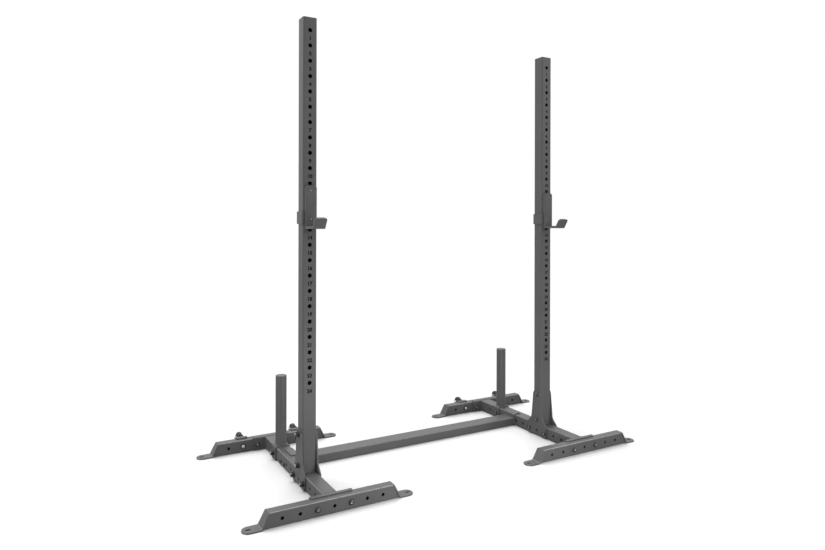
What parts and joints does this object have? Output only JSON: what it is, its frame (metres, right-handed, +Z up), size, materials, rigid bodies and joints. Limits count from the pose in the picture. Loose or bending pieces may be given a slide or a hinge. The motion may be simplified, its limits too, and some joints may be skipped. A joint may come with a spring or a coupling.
{
  "type": "squat stand",
  "caption": "Squat stand: drilled uprights on base tubes with cross feet and a low crossmember, with hang-in bar cups, plate storage pegs and transport wheels.",
  "frame": {"origin": "middle of the footprint on the floor", "axes": "+X along the bar from the left stand to the right one, +Y to the back, away from the lifter, +Z up"},
  "size_m": [1.86, 0.8644, 1.838],
  "materials": {
    "charcoal_powder_coat": "fine-grained semi-matte charcoal powder coat",
    "black_oxide_steel": "dark oxide, satin",
    "zinc_plated_steel": "bright zinc plate",
    "black_plastic": "moulded, fine texture",
    "charcoal_liner_plastic": "dense moulded plastic, satin",
    "wheel_rubber": "hard black rubber, matte"
  },
  "bodies": {
    "frame": {"crossmember": "charcoal_powder_coat", "crossmember_bolts": "black_oxide_steel", "crossmember_weld_nuts": "zinc_plated_steel", "foot_bolts": "black_oxide_steel", "frame_nuts": "black_oxide_steel", "frame_washers": "black_oxide_steel", "gusset_bolts": "black_oxide_steel", "peg_bolts": "black_oxide_steel", "wheel_axle_bolts": "zinc_plated_steel", "wheel_axle_nuts": "zinc_plated_steel", "wheel_bracket_bolts": "zinc_plated_steel", "left_upright": "charcoal_powder_coat", "left_base_tube": "charcoal_powder_coat", "left_outer_gusset": "charcoal_powder_coat", "left_inner_gusset": "charcoal_powder_coat", "left_base_front_plate": "charcoal_powder_coat", "left_base_rear_plate": "charcoal_powder_coat", "left_front_foot": "charcoal_powder_coat", "left_front_foot_ends": "charcoal_powder_coat", "left_rear_foot": "charcoal_powder_coat", "left_rear_foot_ends": "charcoal_powder_coat", "left_crossmember_plate": "charcoal_powder_coat", "left_peg_saddle": "charcoal_powder_coat", "left_plate_peg": "charcoal_powder_coat", "left_outer_wheel_bracket": "charcoal_powder_coat", "left_inner_wheel_bracket": "charcoal_powder_coat", "left_upright_cap": "black_plastic", "left_peg_cap": "black_plastic", "right_upright": "charcoal_powder_coat", "right_base_tube": "charcoal_powder_coat", "right_outer_gusset": "charcoal_powder_coat", "right_inner_gusset": "charcoal_powder_coat", "right_base_front_plate": "charcoal_powder_coat", "right_base_rear_plate": "charcoal_powder_coat", "right_front_foot": "charcoal_powder_coat", "right_front_foot_ends": "charcoal_powder_coat", "right_rear_foot": "charcoal_powder_coat", "right_rear_foot_ends": "charcoal_powder_coat", "right_crossmember_plate": "charcoal_powder_coat", "right_peg_saddle": "charcoal_powder_coat", "right_plate_peg": "charcoal_powder_coat", "right_outer_wheel_bracket": "charcoal_powder_coat", "right_inner_wheel_bracket": "charcoal_powder_coat", "right_upright_cap": "black_plastic", "right_peg_cap": "black_plastic"},
    "left_cup_pin_body": {"left_cup_pin": "zinc_plated_steel"},
    "left_cup": {"left_cup_hook": "charcoal_powder_coat", "left_cup_back_liner": "charcoal_liner_plastic", "left_cup_cradle_liner": "charcoal_liner_plastic", "left_cup_screws": "black_oxide_steel"},
    "left_outer_wheel_body": {"left_outer_wheel": "wheel_rubber"},
    "left_inner_wheel_body": {"left_inner_wheel": "wheel_rubber"},
    "right_cup_pin_body": {"right_cup_pin": "zinc_plated_steel"},
    "right_cup": {"right_cup_hook": "charcoal_powder_coat", "right_cup_back_liner": "charcoal_liner_plastic", "right_cup_cradle_liner": "charcoal_liner_plastic", "right_cup_screws": "black_oxide_steel"},
    "right_outer_wheel_body": {"right_outer_wheel": "wheel_rubber"},
    "right_inner_wheel_body": {"right_inner_wheel": "wheel_rubber"}
  },
  "joints": [
    {"name": "left_cup_pull", "type": "slide", "parent": "frame", "child": "left_cup_pin_body", "axis": [0, -1, 0], "range_m": [0, 0.08]},
    {"name": "left_cup_turn", "type": "hinge", "parent": "left_cup_pin_body", "child": "left_cup", "pos_m": [-0.604, -0.16775, 1.127], "axis": [0, 1, 0], "range_deg": [0, 90]},
    {"name": "left_outer_wheel_spin", "type": "hinge", "parent": "frame", "child": "left_outer_wheel_body", "pos_m": [-0.732, 0.40725, 0.045], "axis": [1, 0, 0], "continuous": true},
    {"name": "left_inner_wheel_spin", "type": "hinge", "parent": "frame", "child": "left_inner_wheel_body", "pos_m": [-0.476, 0.40725, 0.045], "axis": [1, 0, 0], "continuous": true},
    {"name": "right_cup_pull", "type": "slide", "parent": "frame", "child": "right_cup_pin_body", "axis": [0, -1, 0], "range_m": [0, 0.08]},
    {"name": "right_cup_turn", "type": "hinge", "parent": "right_cup_pin_body", "child": "right_cup", "pos_m": [0.604, -0.16775, 1.127], "axis": [0, 1, 0], "range_deg": [0, 90]},
    {"name": "right_outer_wheel_spin", "type": "hinge", "parent": "frame", "child": "right_outer_wheel_body", "pos_m": [0.732, 0.40725, 0.045], "axis": [1, 0, 0], "continuous": true},
    {"name": "right_inner_wheel_spin", "type": "hinge", "parent": "frame", "child": "right_inner_wheel_body", "pos_m": [0.476, 0.40725, 0.045], "axis": [1, 0, 0], "continuous": true}
  ]
}
